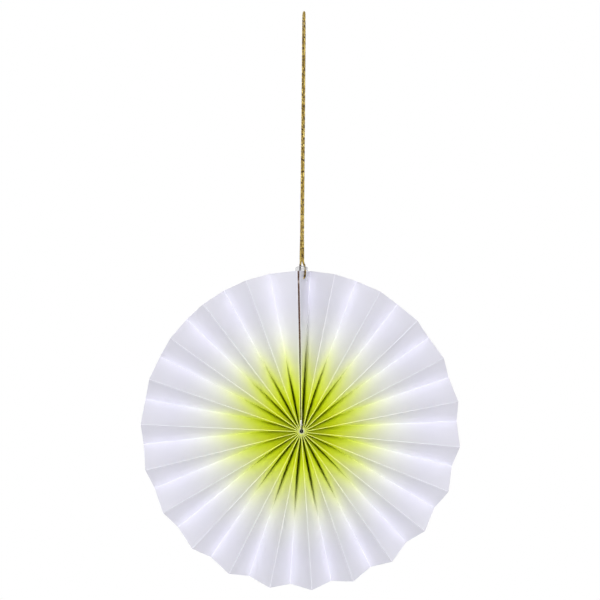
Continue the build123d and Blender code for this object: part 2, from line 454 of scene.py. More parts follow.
class SharedEffects:
    """Node groups that more than one finish uses, each built once."""

    cloud_detail: float = 4.0
    cloud_range: Span = (0.25, 0.75)
    fibre_detail: float = 3.0
    fibre_stretch: Point = (6.0, 1.6, 3.0)
    fibre_range: Span = (0.2, 0.8)
    ragged_detail: float = 3.0
    ragged_range: Span = (0.3, 0.7)
    ragged_reach: Span = (-0.7, 0.7)
    wear_range: Span = (1.15, 0.35)
    mark_stretch: Point = (1.0, 5.0, 0.7)
    mark_middle: float = 0.5
    mark_width: float = 0.05

    def __init__(self) -> None:
        """Build the groups."""
        self.fibre_grain = self._fibre_grain()
        self.edge_wear = self._edge_wear()
        self.handling_marks = self._handling_marks()

    @staticmethod
    def _start(
        name: str, inputs: tuple[str, ...], outputs: tuple[str, ...]
    ) -> tuple[bpy.types.NodeTree, NodeSheet, Any, Any]:
        """Make a group with a Vector input, number inputs and number outputs.

        Args:
            name: Name of the group.
            inputs: Names of its number inputs.
            outputs: Names of its outputs.

        Returns:
            The group, its nodes, the sockets it is given and the sockets it gives.
        """
        tree = bpy.data.node_groups.new(name, "ShaderNodeTree")
        tree.interface.new_socket("Vector", in_out="INPUT", socket_type="NodeSocketVector")
        for key in inputs:
            tree.interface.new_socket(key, in_out="INPUT", socket_type="NodeSocketFloat")
        for key in outputs:
            tree.interface.new_socket(key, in_out="OUTPUT", socket_type="NodeSocketFloat")
        sheet = NodeSheet(tree)
        taken = tree.nodes.new("NodeGroupInput").outputs
        given = tree.nodes.new("NodeGroupOutput").inputs
        return tree, sheet, taken, given

    def _fibre_grain(self) -> bpy.types.NodeTree:
        """Pressed fibres: a cloudy mottle, and fine fibres that lie along the second axis.

        Returns:
            The group.
        """
        tree, sheet, taken, given = self._start("fibre_grain", ("Scale",), ("Mottle", "Fibre"))
        cloud = sheet.noise(taken["Vector"], taken["Scale"], self.cloud_detail)
        along = sheet.stretch(taken["Vector"], self.fibre_stretch)
        fibre = sheet.noise(along, taken["Scale"], self.fibre_detail)
        sheet.feed(given["Mottle"], sheet.span(cloud, *self.cloud_range))
        sheet.feed(given["Fibre"], sheet.span(fibre, *self.fibre_range))
        return tree

    def _edge_wear(self) -> bpy.types.NodeTree:
        """Wear near an edge: full at the edge, gone at a ragged width away from it.

        Returns:
            The group.
        """
        tree, sheet, taken, given = self._start(
            "edge_wear", ("Distance", "Width", "Scale"), ("Wear",)
        )
        ragged = sheet.noise(taken["Vector"], taken["Scale"], self.ragged_detail)
        ragged = sheet.span(ragged, *self.ragged_range, self.ragged_reach)
        reach = sheet.sum("DIVIDE", taken["Distance"], taken["Width"])
        reach = sheet.sum("ADD", reach, ragged)
        sheet.feed(given["Wear"], sheet.span(reach, *self.wear_range))
        return tree

    def _handling_marks(self) -> bpy.types.NodeTree:
        """Fine marks of rubbing: thin lines where stretched noise crosses its middle value.

        Returns:
            The group.
        """
        tree, sheet, taken, given = self._start("handling_marks", ("Scale",), ("Marks",))
        along = sheet.stretch(taken["Vector"], self.mark_stretch)
        lines = sheet.noise(along, taken["Scale"])
        off_middle = sheet.sum("SUBTRACT", lines, self.mark_middle)
        off_middle = sheet.sum("ABSOLUTE", off_middle)
        sheet.feed(given["Marks"], sheet.span(off_middle, self.mark_width, 0.0))
        return tree


@dataclass(frozen=True)
class PrintedPaper:
    """Matt white paper, with lime ink that thins out from the hub.

    The ink has crept further out in the folds and is cracked along the ridges.
    Painted shade darkens it towards the hub, and more so deep in the folds there.
    The strip's inner edge is raw, with painted shade deep inside the hub hole.
    """

    rim_white: Colour = (0.72, 0.715, 0.785)
    inner_white: Colour = (0.815, 0.823, 0.785)
    ink: Colour = (0.84, 0.915, 0.018)
    hub_shade_ink: Colour = (0.67, 0.735, 0.016)
    fold_shade_ink: Colour = (0.45, 0.51, 0.012)
    unprinted: Colour = (0.74, 0.74, 0.77)
    hole_shade: Colour = (0.012, 0.013, 0.008)
    raw_edge: Colour = (0.60, 0.62, 0.47)
    hole_shade_radius: float = 1.3 * MM
    hole_shade_edge: float = 1.55 * MM
    raw_radius: float = 1.7 * MM
    print_radius: float = 2.8 * MM
    hub_shade_radius: float = 5.0 * MM
    unshaded_ink_radius: float = 35.0 * MM
    fold_shade_radius: float = 33.0 * MM
    fold_shade_from: float = 10.0 * MM
    fold_shade_to: float = 24.0 * MM
    creep: float = 4.5 * MM
    creep_from: float = 6.0 * MM
    creep_to: float = 27.0 * MM
    full_ink_radius: float = 23.75 * MM
    no_ink_radius: float = 87.0 * MM
    ink_falloff: float = 1.55
    rim_white_radius: float = 106.0 * MM
    inner_white_radius: float = 60.0 * MM
    crack_width: float = 0.16 * MM
    crack_scale: float = 700.0
    crack_share: float = 0.25
    mottle_reach: float = 2.5 * MM
    raw_share: float = 0.75
    grain_scale: float = 900.0
    grain_height: float = 0.02 * MM
    grain_strength: float = 0.35
    roughness: Span = (0.56, 0.68)
    sheen: float = 0.3

    def _ink_share(
        self, sheet: NodeSheet, fold: Any, uneven: Any, wear: Any
    ) -> bpy.types.NodeSocket:
        """Share of the paper that ink covers.

        It is a smooth step of a power of the nearness to the hub, on the printed side. In the folds
        it is taken from a place a little nearer to the hub. Along the ridges the ink is cracked off
        in ragged lines.

        Args:
            sheet: Nodes of the material.
            fold: Distance from the nearest ridge, then one on the printed side.
            uneven: Distance from the hub, made a little uneven.
            wear: Wear along the ridges.

        Returns:
            The share.
        """
        crept = sheet.span(fold[0], self.creep_from, self.creep_to, (0.0, self.creep))
        distance = sheet.sum("SUBTRACT", uneven, crept)
        nearness = sheet.sum("SUBTRACT", self.no_ink_radius, distance)
        spread = self.no_ink_radius - self.full_ink_radius
        nearness = sheet.sum("DIVIDE", sheet.sum("MAXIMUM", nearness, 0.0), spread)
        ink = sheet.span(sheet.sum("POWER", nearness, self.ink_falloff), 0.0, 1.0)
        cracked = sheet.sum("MULTIPLY", wear, self.crack_share)
        kept = sheet.sum("SUBTRACT", 1.0, cracked)
        return sheet.sum("MULTIPLY", sheet.sum("MULTIPLY", ink, kept), fold[1])

    def _lime(self, sheet: NodeSheet, radius: Any, from_ridge: Any) -> bpy.types.NodeSocket:
        """Colour of the ink, with painted shade: darker towards the hub, and darker still deep in
        the folds there.

        Args:
            sheet: Nodes of the material.
            radius: Distance from the hub.
            from_ridge: Distance from the nearest ridge.

        Returns:
            The colour.
        """
        # Painted shade: the ink darkens towards the hub, where the grooves are deep.
        shade_fading = sheet.span(radius, self.hub_shade_radius, self.unshaded_ink_radius)
        lime = sheet.blend(shade_fading, self.hub_shade_ink, self.ink)
        # Painted shade: darker still deep in the folds near the hub.
        fold_shaded = sheet.span(radius, self.fold_shade_radius, self.hub_shade_radius)
        deep = sheet.span(from_ridge, self.fold_shade_from, self.fold_shade_to)
        fold_shaded = sheet.sum("MULTIPLY", fold_shaded, deep)
        return sheet.blend(fold_shaded, lime, self.fold_shade_ink)

    def material(self, effects: SharedEffects) -> bpy.types.Material:
        """Build the material: white paper, ink over it, then the raw edges round the hub hole.

        Args:
            effects: Shared node groups.

        Returns:
            The material.
        """
        material, sheet = new_material(Slot.PRINTED_PAPER)
        strip = sheet.uv("strip")
        radius = sheet.add("SeparateXYZ", {0: strip}).outputs[1]
        fold = sheet.add("SeparateXYZ", {0: sheet.uv("fold")}).outputs
        grain_inputs = {"Vector": strip, "Scale": self.grain_scale}
        grain = sheet.group(effects.fibre_grain, grain_inputs).outputs
        wear_inputs = {
            "Vector": strip,
            "Distance": fold[0],
            "Width": self.crack_width,
            "Scale": self.crack_scale,
        }
        wear = sheet.group(effects.edge_wear, wear_inputs).outputs["Wear"]
        uneven = sheet.sum("MULTIPLY_ADD", grain["Mottle"], self.mottle_reach, radius)
        ink = self._ink_share(sheet, fold, uneven, wear)
        inward = sheet.span(radius, self.rim_white_radius, self.inner_white_radius)
        front = sheet.blend(inward, self.rim_white, self.inner_white)
        paper = sheet.blend(fold[1], self.unprinted, front)
        colour = sheet.blend(ink, paper, self._lime(sheet, radius, fold[0]))
        raw = sheet.span(radius, self.raw_radius, self.print_radius, (self.raw_share, 0.0))
        colour = sheet.blend(raw, colour, self.raw_edge)
        # Painted shade: the paper goes almost black deep inside the hub hole.
        hole_shaded = sheet.span(radius, self.hole_shade_radius, self.hole_shade_edge, (1.0, 0.0))
        colour = sheet.blend(hole_shaded, colour, self.hole_shade)
        rough = sheet.span(grain["Fibre"], 0.0, 1.0, self.roughness)
        normal = sheet.bump(grain["Fibre"], self.grain_height, self.grain_strength)
        inputs = {"Base Color": colour, "Roughness": rough, "Normal": normal}
        sheet.surface({**inputs, "Specular IOR Level": self.sheen})
        return material


@dataclass(frozen=True)
class BrownBoard:
    """Raw brown board, with pressed layers along its cut edges and scuffed corners.

    Painted olive shade darkens it near the hub.
    A painted highlight crosses it at the clip's foot.
    """

    layer: Colour = (0.112, 0.056, 0.040)
    dark_layer: Colour = (0.066, 0.034, 0.025)
    joint_shade: Colour = (0.070, 0.075, 0.010)
    scuffed: Colour = (0.30, 0.24, 0.20)
    joint_shade_from: float = 88.0 * MM
    joint_shade_to: float = 48.0 * MM
    rub_and_highlight: Colour = (0.36, 0.30, 0.28)
    highlight_radius: float = 116.4 * MM
    highlight_reach: float = 2.0 * MM
    joint_shade_share: float = 0.95
    highlight_share: float = 0.9
    scuff_share: float = 0.5
    scuff_width: float = 0.2 * MM
    scuff_scale: float = 900.0
    layer_stretch: Point = (3.0, 0.12, 1.0)
    layer_scale: float = 1200.0
    layer_detail: float = 3.0
    layer_range: Span = (0.3, 0.7)
    grain_scale: float = 800.0
    grain_height: float = 0.06 * MM
    grain_strength: float = 0.6
    roughness: float = 0.85
    sheen: float = 0.1

    def material(self, effects: SharedEffects) -> bpy.types.Material:
        """Build the material: layers across the edge, fibres along it, painted shade, a painted
        highlight and pale scuffs.

        Args:
            effects: Shared node groups.

        Returns:
            The material.
        """
        material, sheet = new_material(Slot.BROWN_CARD)
        board = sheet.uv("board")
        edge = sheet.add("SeparateXYZ", {0: sheet.uv("edge")}).outputs
        stretched = sheet.stretch(board, self.layer_stretch)
        layers = sheet.noise(stretched, self.layer_scale, self.layer_detail)
        grain = sheet.group(effects.fibre_grain, {"Vector": board, "Scale": self.grain_scale})
        wear_inputs = {
            "Vector": board,
            "Distance": edge[0],
            "Width": self.scuff_width,
            "Scale": self.scuff_scale,
        }
        wear = sheet.group(effects.edge_wear, wear_inputs)
        paler = sheet.span(layers, *self.layer_range)
        colour = sheet.blend(paler, self.dark_layer, self.layer)
        # Painted olive shade: the board darkens towards the hub, down in the joint.
        joint_shaded = sheet.span(edge[1], self.joint_shade_from, self.joint_shade_to, (0.0, self.joint_shade_share))
        colour = sheet.blend(joint_shaded, colour, self.joint_shade)
        # Painted highlight: a pale band across the board at the clip's foot.
        inner, outer = self.highlight_radius - self.highlight_reach, self.highlight_radius + self.highlight_reach
        rising = sheet.span(edge[1], inner, self.highlight_radius)
        falling = sheet.span(edge[1], self.highlight_radius, outer, (self.highlight_share, 0.0))
        highlight = sheet.sum("MULTIPLY", rising, falling)
        colour = sheet.blend(highlight, colour, self.rub_and_highlight)
        scuff = sheet.sum("MULTIPLY", wear.outputs["Wear"], grain.outputs["Mottle"])
        scuff = sheet.sum("MULTIPLY", scuff, self.scuff_share)
        colour = sheet.blend(scuff, colour, self.scuffed)
        normal = sheet.bump(grain.outputs["Fibre"], self.grain_height, self.grain_strength)
        inputs = {"Base Color": colour, "Roughness": self.roughness, "Normal": normal}
        sheet.surface({**inputs, "Specular IOR Level": self.sheen})
        return material


@dataclass(frozen=True)
class ClearPlastic:
    """Clear moulded plastic with fine marks of rubbing, hazier where it stands above the rim."""

    haze: Colour = (0.36, 0.36, 0.38)
    cover: float = 0.3
    pressed_cover: float = 0.08
    rub_and_highlight: float = 0.15
    rim_height: float = -201.0 * MM
    haze_from: float = -0.6 * MM
    haze_to: float = 0.2 * MM
    mark_scale: float = 500.0
    roughness: Span = (0.12, 0.35)
    ripple_scale: float = 250.0
    ripple_height: float = 0.05 * MM
    ripple_strength: float = 0.4
    ior: float = 1.49

    def material(self, effects: SharedEffects) -> bpy.types.Material:
        """Build the material: a thin haze that lets most light through, denser along the marks.

        Args:
            effects: Shared node groups.

        Returns:
            The material.
        """
        material, sheet = new_material(Slot.CLEAR_PLASTIC)
        place = sheet.add("TexCoord").outputs["Object"]
        mark_inputs = {"Vector": place, "Scale": self.mark_scale}
        marks = sheet.group(effects.handling_marks, mark_inputs).outputs["Marks"]
        rough = sheet.span(marks, 0.0, 1.0, self.roughness)
        height = sheet.add("SeparateXYZ", {0: place}).outputs[2]
        low, high = self.rim_height + self.haze_from, self.rim_height + self.haze_to
        cover = sheet.span(height, low, high, (self.pressed_cover, self.cover))
        cover = sheet.sum("MULTIPLY_ADD", marks, self.rub_and_highlight, cover)
        ripple = sheet.noise(place, self.ripple_scale)
        normal = sheet.bump(ripple, self.ripple_height, self.ripple_strength)
        inputs = {"Base Color": self.haze, "Roughness": rough, "Normal": normal, "Alpha": cover}
        sheet.surface({**inputs, "IOR": self.ior})
        return material


@dataclass(frozen=True)
class GoldYarn:
    """Twisted yarn wrapped in narrow gold foil, with glints and dark gaps between the plies.

    Painted shade darkens its last few millimetres, on the left strand by the joint.
    """

    bright: Colour = (0.45, 0.345, 0.098)
    gold: Colour = (0.265, 0.178, 0.031)
    shade: Colour = (0.055, 0.027, 0.003)
    end_shade: Colour = (0.030, 0.016, 0.009)
    end_shade_from: float = 413.5 * MM
    end_shade_to: float = 415.5 * MM
    end_shade_share: float = 0.9
    foil_slant: float = 0.35
    foil_stretch: Point = (0.5, 1.1, 1.0)
    foil_scale: float = 1000.0
    gold_range: Span = (0.22, 0.5)
    bright_range: Span = (0.6, 0.8)
    gap_range: Span = (0.45, 0.05)
    gap_share: float = 0.8
    grain_scale: float = 1800.0
    roughness: Span = (0.3, 0.6)
    metallic: Span = (0.75, 0.1)
    foil_height: float = 0.08 * MM
    foil_strength: float = 0.7

    def material(self, effects: SharedEffects) -> bpy.types.Material:
        """Build the material.

        Flat cells, slanted across each ply, take one of three golds by chance. The gaps between
        plies are the dark yarn inside, which is hardly metal.

        Args:
            effects: Shared node groups.

        Returns:
            The material.
        """
        material, sheet = new_material(Slot.GOLD_CORD)
        yarn = sheet.uv("yarn")
        depth = sheet.add("SeparateXYZ", {0: sheet.uv("ply")}).outputs[0]
        turn = {"Vector": yarn, "Rotation": (0, 0, self.foil_slant)}
        slanted = sheet.add("Mapping", turn).outputs[0]
        foil = sheet.stretch(slanted, self.foil_stretch)
        cells = sheet.add("TexVoronoi", {"Vector": foil, "Scale": self.foil_scale})
        chance = sheet.add("SeparateColor", {0: cells.outputs["Color"]}).outputs
        golden = sheet.span(chance[0], *self.gold_range)
        colour = sheet.blend(golden, self.shade, self.gold)
        glint = sheet.span(chance[1], *self.bright_range)
        colour = sheet.blend(glint, colour, self.bright)
        gap = sheet.span(depth, *self.gap_range)
        dark = sheet.sum("MULTIPLY", gap, self.gap_share)
        colour = sheet.blend(dark, colour, self.shade)
        # Painted shade: the cord's last few millimetres, on the left strand by the joint, go dark.
        along = sheet.add("SeparateXYZ", {0: yarn}).outputs[1]
        end_shaded = sheet.span(along, self.end_shade_from, self.end_shade_to, (0.0, self.end_shade_share))
        colour = sheet.blend(end_shaded, colour, self.end_shade)
        grain = sheet.group(effects.fibre_grain, {"Vector": yarn, "Scale": self.grain_scale})
        rough = sheet.span(chance[2], 0.0, 1.0, self.roughness)
        metal = sheet.span(gap, 0.0, 1.0, self.metallic)
        height = sheet.sum("ADD", cells.outputs["Distance"], grain.outputs["Fibre"])
        normal = sheet.bump(height, self.foil_height, self.foil_strength)
        inputs = {"Base Color": colour, "Roughness": rough, "Metallic": metal, "Normal": normal}
        sheet.surface(inputs)
        return material


@dataclass(frozen=True)
class BrightWire:
    """Thin bright wire, a little dulled where it was twisted."""

    metal: Colour = (0.60, 0.59, 0.62)
    dulled: Colour = (0.42, 0.41, 0.43)
    mark_scale: float = 900.0
    mark_height: float = 0.02 * MM
    mark_strength: float = 0.3
    grain_scale: float = 1200.0
    roughness: Span = (0.2, 0.38)

    def material(self, effects: SharedEffects) -> bpy.types.Material:
        """Build the material.

        Args:
            effects: Shared node groups.

        Returns:
            The material.
        """
        material, sheet = new_material(Slot.STEEL_WIRE)
        place = sheet.uv("wire")
        mark_inputs = {"Vector": place, "Scale": self.mark_scale}
        marks = sheet.group(effects.handling_marks, mark_inputs).outputs["Marks"]
        grain = sheet.group(effects.fibre_grain, {"Vector": place, "Scale": self.grain_scale})
        colour = sheet.blend(marks, self.metal, self.dulled)
        rough = sheet.span(grain.outputs["Mottle"], 0.0, 1.0, self.roughness)
        normal = sheet.bump(marks, self.mark_height, self.mark_strength)
        inputs = {"Base Color": colour, "Roughness": rough, "Normal": normal}
        sheet.surface({**inputs, "Metallic": 1.0})
        return material


@dataclass
class PleatedFan:
    """Pleated strip, drawn into a disc round the hub and closed at the joint.

    Creases are counted clockwise from the joint, seen from the front: the free front edge, then
    valley and ridge in turn, then the free back edge. Even ones lie in front.
    """

    fan_radius: float = 125.0 * MM
    pleat_count: int = 22
    rim_depth: float = 18.0 * MM
    paper_thickness: float = 0.25 * MM
    hub_packing: float = 1.25
    pleat_sag: float = 3.1
    top_opening: float = 0.19
    pleat_turn: float = -0.9
    joint_lean: float = 1.4
    end_valley_offset: float = 10.2 * MM
    card_thickness: float = 1.5 * MM
    card_hub_thickness: float = 0.95 * MM
    pressed_from: float = 66.0 * MM
    pressed_to: float = 30.0 * MM
    layer_gap: float = 0.05 * MM
    cord_rise: float = 201.0 * MM
    cord_diameter: float = 1.7 * MM
    cord_clearance: float = 0.1 * MM
    cord_hole_drop: float = 6.0 * MM
    cord_hole_depth: float = 8.4 * MM
    ridge_radius: float = 0.16 * MM
    valley_radius: float = 0.135 * MM
    end_valley_radius: float = 0.3 * MM
    end_valley_from: float = 50.0 * MM
    end_valley_to: float = 100.0 * MM
    least_rounding: float = 0.53
    fold_share: float = 0.4
    typical_panel: int = 10
    crease_angle: float = 50.0
    panel_bow: float = 0.22 * MM
    bow_bias: float = 0.35
    bow_step: float = 1.9
    bow_start: float = 0.6
    hub_bow: float = 0.58 * MM
    hub_bow_radius: float = 19.0 * MM
    hub_bow_power: float = 1.5
    stations: int = 36
    panel_points: int = 7
    panel_margin: float = 0.015
    half_fold_points: int = 3
    waist_radius: float = 0.6 * MM
    waist_rows: int = 4
    waist_sharpness: int = 10
    front_draw: float = 0.5
    fold_count: int = field(init=False)
    hub_radius: float = field(init=False)
    right_edge_offset: float = field(init=False)
    left_ridge_offset: float = field(init=False)
    hub_ends: Array = field(init=False)
    rim_ends: Array = field(init=False)
    mean_rim_chord: float = field(init=False)
    panel_width: float = field(init=False)

    def __post_init__(self) -> None:
        """Work out where the creases start and end.

        Layers are packed evenly round the hub. At the rim the folds are spread evenly, then moved
        by the slip and by the sag, which is a sine of the angle and of three times the angle.
        """
        self.fold_count = 2 * self.pleat_count
        half_paper = self.paper_thickness / 2
        self.left_ridge_offset = self.card_thickness / 2 + half_paper
        self.right_edge_offset = self.left_ridge_offset + self.layer_gap
        joint_width = self.right_edge_offset + self.left_ridge_offset
        layers = self.fold_count * self.hub_packing * self.paper_thickness
        self.hub_radius = (layers + joint_width) / TAU
        hub_last = self._left_ridge_angle(self.hub_radius)
        hub_first = math.asin(self.right_edge_offset / self.hub_radius)
        hub = np.append(np.linspace(hub_first, hub_last, self.fold_count + 1), hub_last)
        rim_last = self._left_ridge_angle(self.fan_radius)
        rim_first = math.asin(self.right_edge_offset / self.fan_radius)
        first_valley = math.asin(self.end_valley_offset / self.fan_radius)
        even = np.linspace(first_valley, rim_last, self.fold_count)
        swing = np.sin(even) + self.top_opening * np.sin(3 * even)
        sagged = even + np.radians(self.pleat_turn + self.pleat_sag * swing)
        rim = np.array([rim_first, first_valley, *sagged[1:-1], rim_last, rim_last])
        self.hub_ends = self.on_circle(self.hub_radius, hub)
        self.rim_ends = self.on_circle(self.fan_radius, rim)
        chords = np.linalg.norm(np.diff(self.rim_ends, axis=0), axis=1)[1:-1]
        self.mean_rim_chord = float(chords.mean())
        self.panel_width = math.hypot(self.rim_depth, float(chords.max()))

    def _left_ridge_angle(self, radius: float) -> float:
        """Angle of the last ridge, on the card's left side."""
        return TAU - math.asin(self.left_ridge_offset / radius)

    @staticmethod
    def on_circle(radius: float, angles: Array) -> Array:
        """Points on a circle round the hub, clockwise from the joint's plane."""
        return radius * np.stack([np.sin(angles), np.zeros_like(angles), np.cos(angles)], axis=-1)

    def hung(self, points: Array) -> Array:
        """Turn points of the fan by the joint's lean, and move them to where the fan hangs.

        Args:
            points: Points from the hub, with the joint upright, of shape (..., 3).

        Returns:
            Points in the part's frame, of the same shape.
        """
        lean = math.radians(self.joint_lean)
        x, y, z = np.moveaxis(np.asarray(points, dtype=float), -1, 0)
        turned_x = x * math.cos(lean) - z * math.sin(lean)
        turned_z = x * math.sin(lean) + z * math.cos(lean)
        drop = self.cord_rise + self.fan_radius
        return np.stack([turned_x, y - self.hole_depth, turned_z - drop], axis=-1)

    def front_depth(self, radius: Array) -> Array:
        """Y of the ridges: panels keep their width, so pleats grow shallower outwards."""
        chord = self.mean_rim_chord * np.asarray(radius) / self.fan_radius
        return -np.sqrt(self.panel_width**2 - chord**2) / 2

    def pressed(self, radii: Array) -> Array:
        """How far the joint is pressed together: not at the rim, fully near the hub."""
        return ramp(radii, self.pressed_from, self.pressed_to)

    def card_thinning(self, radii: Array) -> Array:
        """Thickness that the board loses where the joint is pressed together."""
        return (self.card_thickness - self.card_hub_thickness) * self.pressed(radii)

    @property
    def hole_height(self) -> float:
        """Middle of the cord's hole above the hub."""
        return self.fan_radius - self.cord_hole_drop

    @property
    def hole_depth(self) -> float:
        """Middle of the cord's hole, front to back."""
        return float(self.front_depth(self.hole_height)) + self.cord_hole_depth

    def creases(self, radii: Array) -> Array:
        """Middle of the paper on every crease, at given radii.

        A crease runs straight from the hub to the rim, seen from the front. Ridges lie at the front
        depth, and each valley lies as far behind it as the panel's width and chord give.

        Args:
            radii: Distances from the hub, of shape (stations,).

        Returns:
            Points of shape (stations, creases, 3).
        """
        share = (radii - self.hub_radius) / (self.fan_radius - self.hub_radius)
        places = self.hub_ends + (self.rim_ends - self.hub_ends) * share[:, None, None]
        places[:, 0] -= self.card_thinning(radii)[:, None] * ACROSS
        chords = np.linalg.norm(np.diff(places, axis=1), axis=2)
        fall = np.sqrt(self.panel_width**2 - chords**2)
        depth = np.repeat(self.front_depth(radii)[:, None], places.shape[1], axis=1)
        depth[:, 1:-1:2] += fall[:, 1::2]
        depth[:, -1] += self.panel_width
        return places + depth[..., None] * BACK

    def rim_creases(self) -> Array:
        """Middle of the paper on every crease at the rim."""
        return self.creases(np.array([self.fan_radius]))[0]

    def rim_slope(self) -> float:
        """Slant of the end panel at the rim.

        Returns:
            Sideways step for each unit of depth.
        """
        rim = self.rim_creases()
        step = rim[1] - rim[0]
        return float(step[0] / step[1])

    def strand_offsets(self) -> tuple[float, float]:
        """Distances of the two strands' middles from the joint's plane.

        The left strand stands clear of the board, and the right one of the slanting end panel.

        Returns:
            Distance of the left strand, then of the right one.
        """
        strand = self.cord_diameter / 2
        rim = self.rim_creases()[0]
        slope = self.rim_slope()
        panel = rim[0] + (self.hole_depth - rim[1]) * slope
        standoff = (strand + self.paper_thickness / 2) * math.hypot(1, slope)
        left = self.card_thickness / 2 + strand + self.cord_clearance
        return left, float(panel) + standoff + self.cord_clearance

    def _rounding(self, creases: Array, radii: Array) -> Array:
        """Radius of the arc on every crease.

        It is a share of a typical panel's sideways span, but no more than a ridge or a valley has
        and no less than the paper allows. The first valley opens outwards. Free edges have none.

        Args:
            creases: Points on the creases, of shape (stations, creases, 3).
            radii: Distances from the hub, of shape (stations,).

        Returns:
            Radii of shape (stations, creases).
        """
        in_front = np.arange(creases.shape[1]) % 2 == 0
        largest = np.where(in_front, self.ridge_radius, self.valley_radius)
        largest = np.repeat(largest[None], len(radii), axis=0)
        opened = ramp(radii, self.end_valley_from, self.end_valley_to)
        largest[:, 1] += self.end_valley_radius * opened
        spans = np.linalg.norm(np.diff(creases[..., ::2], axis=1), axis=2)
        typical = self.fold_share * spans[:, self.typical_panel, None]
        least = self.paper_thickness * self.least_rounding
        rounding = np.minimum(largest, np.maximum(typical, least))
        rounding[:, [0, -1]] = 0
        return rounding

    def _bows(self, radii: Array, panels: int) -> Array:
        """How far the middle of each panel bows to its printed side.

        One part grows with the square of the distance, by an amount that differs from panel to
        panel. The other is a power of the distance that dies away beyond the hub bow's radius. The
        two end panels stay flat.

        Args:
            radii: Distances from the hub, of shape (stations,).
            panels: Number of panels.

        Returns:
            Bows of shape (stations, panels).
        """
        growth = (radii / self.fan_radius) ** 2
        varied = self.bow_bias + np.sin(self.bow_step * np.arange(panels) + self.bow_start)
        outwards = radii / self.hub_bow_radius
        power = self.hub_bow_power
        by_hub = self.hub_bow * outwards**power * np.exp(power * (1 - outwards))
        bows = self.panel_bow * growth[:, None] * varied + by_hub[:, None]
        bows[:, [0, -1]] = 0
        return bows

    def section(self, radii: Array) -> tuple[Array, Array]:
        """Middle line of the folded paper at given radii, with its normals to the printed side.

        Every fold is an arc round a centre just inside it, and every panel is the line that touches
        the arcs at both its ends. A panel's slope is the slope between the two centres plus the
        angle whose sine is the sum of the two arc radii over their distance. Each panel also bows
        by half a sine wave.

        Args:
            radii: Distances from the hub, of shape (stations,).

        Returns:
            Points and normals, each of shape (stations, columns, 3).
        """
        creases = self.creases(radii)
        count = creases.shape[1]
        front = np.where(np.arange(count) % 2 == 0, 1.0, -1.0)
        rounding = self._rounding(creases, radii)
        creases[:, -2] -= rounding[:, -2, None] * ACROSS
        step = np.diff(creases, axis=1)
        chord = np.hypot(step[..., 0], step[..., 2])
        across = np.where(chord[..., None] > TINY, step * (1, 0, 1), ACROSS)
        across = unit(across)
        across[:, -1] = ACROSS
        both = rounding[:, :-1] + rounding[:, 1:]
        fall = np.abs(step[..., 1]) - both
        reach = np.hypot(chord, fall)
        slope = np.arctan2(fall, chord) + np.arcsin(both / reach)
        slope[:, -1] = math.pi / 2

        half = self.half_fold_points
        part = np.arange(-half, half + 1) / half
        before = slope[:, :-1, None]
        after = slope[:, 1:, None]
        turn = np.where(part < 0, before * part, after * part)[..., None]
        sideways = np.where(part[:, None] < 0, across[:, :-1, None], across[:, 1:, None])
        side = front[1:-1, None, None]
        arc_radius = rounding[:, 1:-1, None, None]
        arc_normals = side * np.sin(turn) * sideways - np.cos(turn) * BACK
        arc_points = creases[:, 1:-1, None] + side * arc_radius * (BACK + arc_normals)

        starts = np.concatenate([creases[:, :1], arc_points[:, :, -1]], axis=1)
        ends = np.concatenate([arc_points[:, :, 0], creases[:, -1:]], axis=1)
        facing = front[:-1, None] * np.sin(slope)[..., None] * across
        facing = facing - np.cos(slope)[..., None] * BACK
        share = np.linspace(self.panel_margin, 1 - self.panel_margin, self.panel_points)
        panel_points = starts[:, :, None] + (ends - starts)[:, :, None] * share[:, None]
        bow = self._bows(radii, count - 1)[..., None] * np.sin(math.pi * share)
        panel_points += bow[..., None] * facing[:, :, None]
        panel_normals = np.repeat(facing[:, :, None], self.panel_points, axis=2)

        rows = len(radii)
        points = np.concatenate([panel_points[:, :-1], arc_points], axis=2).reshape(rows, -1, 3)
        normals = np.concatenate([panel_normals[:, :-1], arc_normals], axis=2).reshape(rows, -1, 3)
        points = [creases[:, :1], points, panel_points[:, -1], creases[:, -1:]]
        normals = [facing[:, :1], normals, panel_normals[:, -1], facing[:, -1:]]
        return np.concatenate(points, axis=1), np.concatenate(normals, axis=1)

    def _waist(self, points: Array) -> Array:
        """How far the binding draws the panels' inner ends in, as a factor of the distance.

        The pull eases off in equal steps over the first rows, from the waist's radius to the hub's.
        It is full along the middle of the depth, and falls to a share at the ridges and valleys.

        Args:
            points: Section at the hub and further out, of shape (stations, columns, 3).

        Returns:
            Factors of shape (stations, columns).
        """
        depth = points[..., 1] / (self.panel_width / 2)
        spared = np.clip(np.abs(depth), 0, 1) ** self.waist_sharpness
        pull = 1 - (1 - self.front_draw) * spared
        rows = ramp(np.arange(len(points)), self.waist_rows, 0)
        return 1 - rows[:, None] * pull * (1 - self.waist_radius / self.hub_radius)

    def ridge_columns(self, columns: int) -> Array:
        """Column of the ridge nearest to each column of the section.

        Args:
            columns: Number of columns in the section.

        Returns:
            Column numbers, of shape (columns,).
        """
        half = self.half_fold_points
        block = self.panel_points + 2 * half + 1
        column = np.arange(columns) - 1
        panel = column // block + (column % block >= self.panel_points + half)
        panel = np.clip(panel, 0, self.fold_count)
        ridge = panel + panel % 2
        return np.where(ridge == 0, 0, 1 + (ridge - 1) * block + self.panel_points + half)

